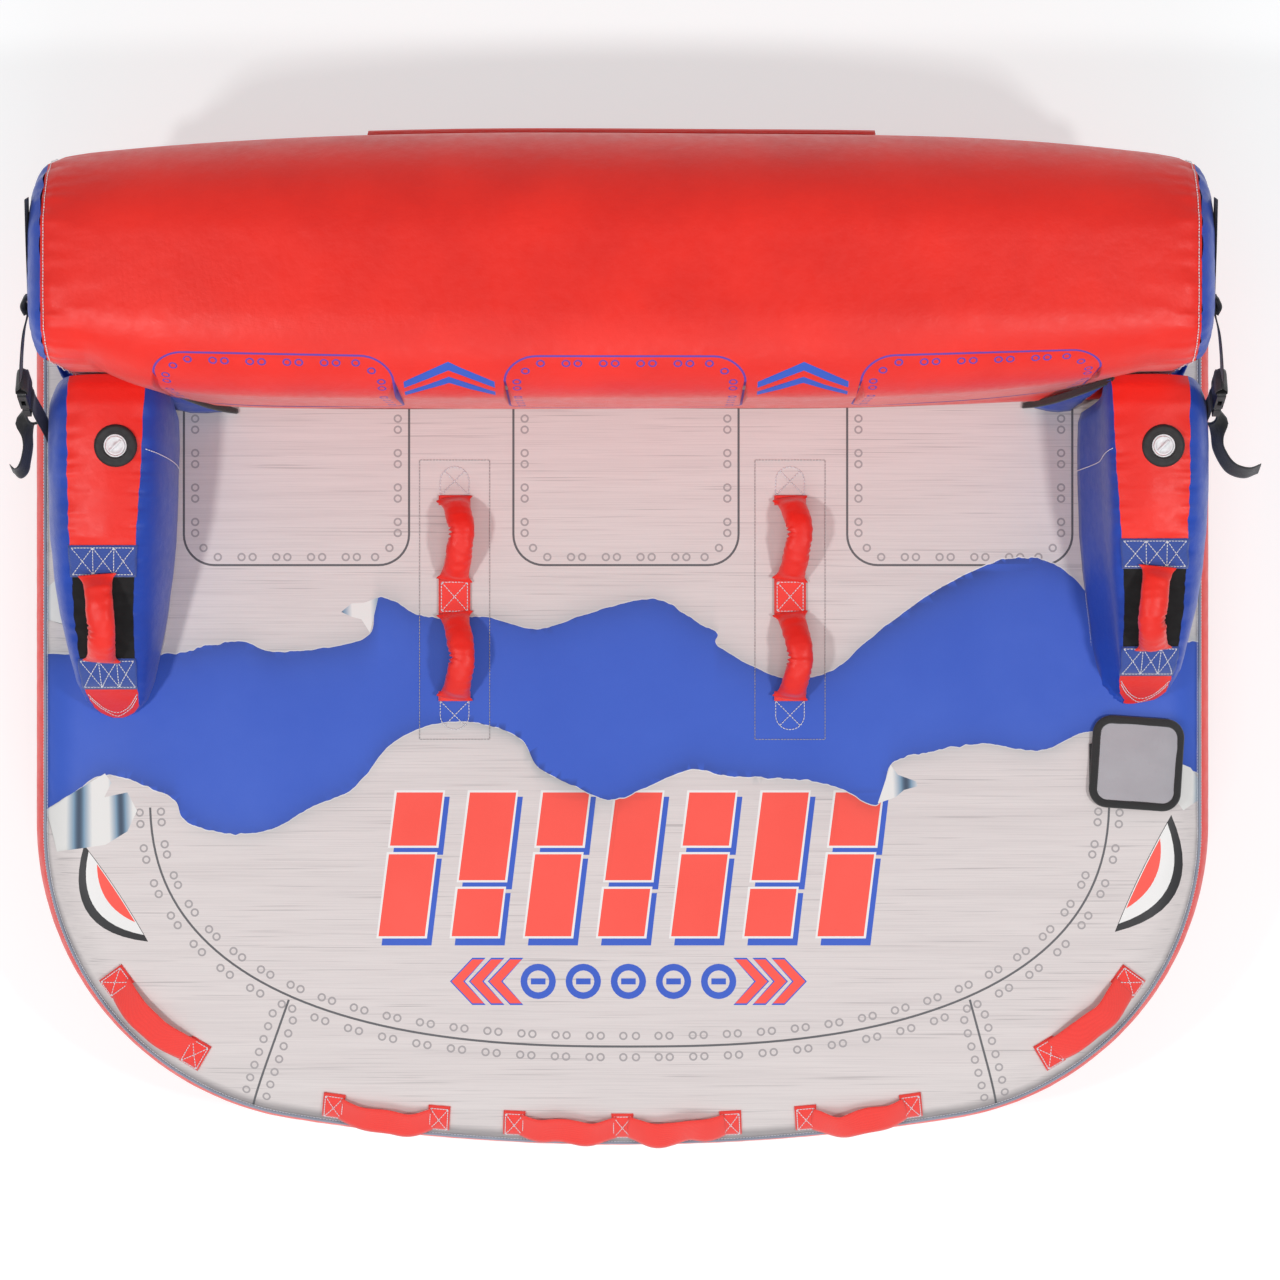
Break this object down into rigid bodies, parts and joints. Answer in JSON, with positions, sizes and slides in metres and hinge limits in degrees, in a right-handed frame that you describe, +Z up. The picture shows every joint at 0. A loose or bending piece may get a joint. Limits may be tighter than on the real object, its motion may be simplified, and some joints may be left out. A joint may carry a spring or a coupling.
{
  "type": "towable tube",
  "caption": "Inflatable water towable for seated riders: rounded deck, wedge arms, strapped folding backrest, padded handles, rim grab straps, valves and a front tow eye.",
  "frame": {"origin": "on the ground under the middle of the overall box", "axes": "+Z up, +X to the right across the riders as seen from above with the backrest at the top, +Y rearwards, towards the backrest"},
  "size_m": [1.9998, 1.6468, 0.715],
  "materials": {
    "printed_cover": "woven polyester with an all-over print",
    "base_fabric": "coated woven nylon",
    "red_fabric": "coated woven nylon",
    "blue_fabric": "coated woven nylon",
    "grey_fabric": "woven polyester",
    "grey_piping": "fabric piping",
    "bladder_vinyl": "welded vinyl film",
    "black_binding": "folded binding tape",
    "black_neoprene": "neoprene foam with a knit face",
    "blue_webbing": "woven webbing with white stitching",
    "red_webbing": "woven webbing with white stitching",
    "red_handle": "nylon sleeve over foam",
    "black_webbing": "woven webbing",
    "black_rubber": "moulded rubber",
    "tow_metal": "tumbled casting",
    "zipper": "woven tape with a nylon coil",
    "zip_metal": "painted die casting",
    "valve_plastic": "moulded",
    "collar_plastic": "moulded rubber ring",
    "buckle_plastic": "moulded acetal"
  },
  "bodies": {
    "deck": {"deck_cover_top": "printed_cover", "deck_cover_bottom": "base_fabric", "deck_side_band": "red_fabric", "deck_piping": "grey_piping", "deck_bladder": "bladder_vinyl", "deck_zipper": "zipper", "deck_valves": "valve_plastic", "deck_valve_collars": "collar_plastic", "valve_flap_hem": "black_binding", "arm_left_side_panels": "blue_fabric", "arm_left_top_panel": "red_fabric", "arm_left_knuckle_pad": "black_neoprene", "arm_left_webbing_bands": "blue_webbing", "arm_right_side_panels": "blue_fabric", "arm_right_top_panel": "red_fabric", "arm_right_knuckle_pad": "black_neoprene", "arm_right_webbing_bands": "blue_webbing", "arm_bladders": "bladder_vinyl", "arm_gussets": "blue_fabric", "gusset_bindings": "black_binding", "seat_handle_backings": "printed_cover", "seat_handle_patches": "red_webbing", "rim_strap_patches": "red_webbing", "buckle_plugs": "buckle_plastic", "side_straps_lower": "black_webbing", "tow_pad": "black_rubber", "tow_eye": "tow_metal", "hinge_strip_lower": "black_webbing"},
    "backrest": {"backrest_cover": "red_fabric", "backrest_ends": "blue_fabric", "backrest_bladder": "bladder_vinyl", "backrest_valve": "valve_plastic", "backrest_valve_collar": "collar_plastic", "backrest_zipper": "zipper", "backrest_zip_flap_hem": "red_fabric", "buckle_sockets": "buckle_plastic", "side_straps_upper": "black_webbing", "hinge_strip_upper": "black_webbing"},
    "valve_flap": {"valve_flap": "grey_fabric", "valve_flap_binding": "black_binding"},
    "zip_flap": {"backrest_zip_flap": "red_fabric"},
    "backrest_zip_slider": {"backrest_zip_slider": "zip_metal"},
    "deck_zip_slider": {"deck_zip_slider": "zip_metal"},
    "deck_cap": {"deck_valve_cap": "valve_plastic"},
    "backrest_cap": {"backrest_valve_cap": "valve_plastic"},
    "arm_left_cap": {"arm_left_valve_cap": "valve_plastic"},
    "arm_left_handle": {"arm_left_handle": "red_handle"},
    "seat_handle_left_rear": {"seat_handle_left_rear": "red_handle"},
    "seat_handle_left_front": {"seat_handle_left_front": "red_handle"},
    "rim_strap_left_centre": {"rim_strap_left_centre": "red_webbing"},
    "rim_strap_left_front": {"rim_strap_left_front": "red_webbing"},
    "rim_strap_left_corner": {"rim_strap_left_corner": "red_webbing"},
    "arm_right_cap": {"arm_right_valve_cap": "valve_plastic"},
    "arm_right_handle": {"arm_right_handle": "red_handle"},
    "seat_handle_right_rear": {"seat_handle_right_rear": "red_handle"},
    "seat_handle_right_front": {"seat_handle_right_front": "red_handle"},
    "rim_strap_right_centre": {"rim_strap_right_centre": "red_webbing"},
    "rim_strap_right_front": {"rim_strap_right_front": "red_webbing"},
    "rim_strap_right_corner": {"rim_strap_right_corner": "red_webbing"}
  },
  "joints": [
    {"name": "backrest_fold", "type": "hinge", "parent": "deck", "child": "backrest", "pos_m": [0, 0.8, 0.2905], "axis": [-1, 0, 0], "range_deg": [0, 100]},
    {"name": "valve_flap_lift", "type": "hinge", "parent": "deck", "child": "valve_flap", "pos_m": [0.7675, -0.184, 0.299], "axis": [0, -1, 0], "range_deg": [0, 120]},
    {"name": "zip_flap_lift", "type": "hinge", "parent": "backrest", "child": "zip_flap", "pos_m": [0, 0.82175, 0.5388], "axis": [1, 0, 0], "range_deg": [0, 150]},
    {"name": "backrest_zip_slide", "type": "slide", "parent": "backrest", "child": "backrest_zip_slider", "axis": [1, 0, 0], "range_m": [0, 0.7]},
    {"name": "deck_zip_slide", "type": "slide", "parent": "deck", "child": "deck_zip_slider", "axis": [1, 0, 0], "range_m": [0, 0.7]},
    {"name": "deck_cap_turn", "type": "hinge", "parent": "deck", "child": "deck_cap", "pos_m": [0.838, -0.184, 0.29], "axis": [0, 0, 1], "continuous": true},
    {"name": "backrest_cap_turn", "type": "hinge", "parent": "backrest", "child": "backrest_cap", "pos_m": [0.6, 0.812, 0.45], "axis": [0, 1, 0], "continuous": true},
    {"name": "arm_left_cap_turn", "type": "hinge", "parent": "deck", "child": "arm_left_cap", "pos_m": [-0.799, 0.325, 0.50187], "axis": [0, -0.0473, 0.9989], "continuous": true},
    {"name": "arm_left_handle_swing", "type": "hinge", "parent": "deck", "child": "arm_left_handle", "pos_m": [-0.827, 0.04523, 0.4505], "axis": [0, 0.9021, 0.4315], "range_deg": [-50, 50]},
    {"name": "seat_handle_left_rear_swing", "type": "hinge", "parent": "deck", "child": "seat_handle_left_rear", "pos_m": [-0.275, 0.182, 0.3091], "axis": [0, 1, 0], "range_deg": [-50, 50]},
    {"name": "seat_handle_left_front_swing", "type": "hinge", "parent": "deck", "child": "seat_handle_left_front", "pos_m": [-0.275, -0.008, 0.3091], "axis": [0, 1, 0], "range_deg": [-50, 50]},
    {"name": "rim_strap_left_centre_lift", "type": "slide", "parent": "deck", "child": "rim_strap_left_centre", "axis": [-0.0146, -0.5677, 0.8231], "range_m": [0, 0.025]},
    {"name": "rim_strap_left_front_lift", "type": "slide", "parent": "deck", "child": "rim_strap_left_front", "axis": [-0.0638, -0.5643, 0.8231], "range_m": [0, 0.025]},
    {"name": "rim_strap_left_corner_lift", "type": "slide", "parent": "deck", "child": "rim_strap_left_corner", "axis": [-0.3945, -0.4085, 0.8231], "range_m": [0, 0.025]},
    {"name": "arm_right_cap_turn", "type": "hinge", "parent": "deck", "child": "arm_right_cap", "pos_m": [0.855, 0.325, 0.50187], "axis": [0, -0.0473, 0.9989], "continuous": true},
    {"name": "arm_right_handle_swing", "type": "hinge", "parent": "deck", "child": "arm_right_handle", "pos_m": [0.827, 0.04523, 0.4505], "axis": [0, 0.9021, 0.4315], "range_deg": [-50, 50]},
    {"name": "seat_handle_right_rear_swing", "type": "hinge", "parent": "deck", "child": "seat_handle_right_rear", "pos_m": [0.275, 0.182, 0.3091], "axis": [0, 1, 0], "range_deg": [-50, 50]},
    {"name": "seat_handle_right_front_swing", "type": "hinge", "parent": "deck", "child": "seat_handle_right_front", "pos_m": [0.275, -0.008, 0.3091], "axis": [0, 1, 0], "range_deg": [-50, 50]},
    {"name": "rim_strap_right_centre_lift", "type": "slide", "parent": "deck", "child": "rim_strap_right_centre", "axis": [0.0146, -0.5677, 0.8231], "range_m": [0, 0.025]},
    {"name": "rim_strap_right_front_lift", "type": "slide", "parent": "deck", "child": "rim_strap_right_front", "axis": [0.0638, -0.5643, 0.8231], "range_m": [0, 0.025]},
    {"name": "rim_strap_right_corner_lift", "type": "slide", "parent": "deck", "child": "rim_strap_right_corner", "axis": [0.3945, -0.4085, 0.8231], "range_m": [0, 0.025]}
  ]
}
